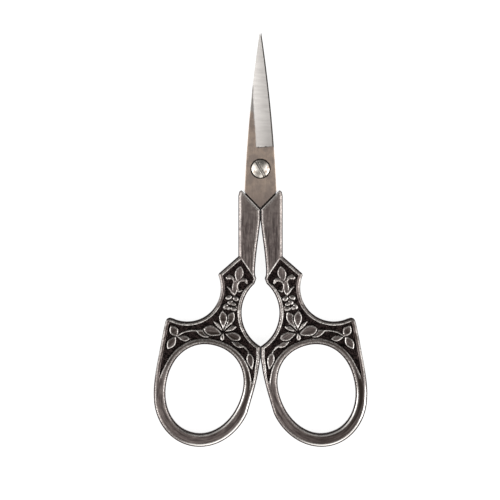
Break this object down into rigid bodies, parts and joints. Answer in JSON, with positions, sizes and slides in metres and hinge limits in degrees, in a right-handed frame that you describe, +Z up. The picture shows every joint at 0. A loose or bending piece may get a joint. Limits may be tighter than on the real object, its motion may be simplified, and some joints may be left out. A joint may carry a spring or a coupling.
{
  "type": "embroidery scissors",
  "caption": "Closed embroidery scissors with slim pointed blades, a slotted pivot screw and cast handles with leaf-scroll panels and oval finger bows.",
  "frame": {"origin": "middle of the bounding box's bottom face, with the scissors lying flat and closed", "axes": "+Y along the blades to the tips, +X to the right seen from above, +Z up through the screw's head"},
  "size_m": [0.0582, 0.113, 0.0036],
  "materials": {
    "blade_steel": "satin stainless steel with a brighter ground face along the cutting edge",
    "handle_alloy": "cast zinc alloy in a dark antiqued pewter finish, black in the recesses and rubbed bright on the edges",
    "screw_steel": "bright turned steel"
  },
  "bodies": {
    "rear_half": {"rear_blade": "blade_steel", "left_handle": "handle_alloy", "pivot_screw": "screw_steel"},
    "front_half": {"front_blade": "blade_steel", "right_handle": "handle_alloy"}
  },
  "joints": [
    {"name": "pivot", "type": "hinge", "parent": "rear_half", "child": "front_half", "pos_m": [0, 0.0194, 0.0018], "axis": [0, 0, 1], "range_deg": [0, 110]}
  ]
}
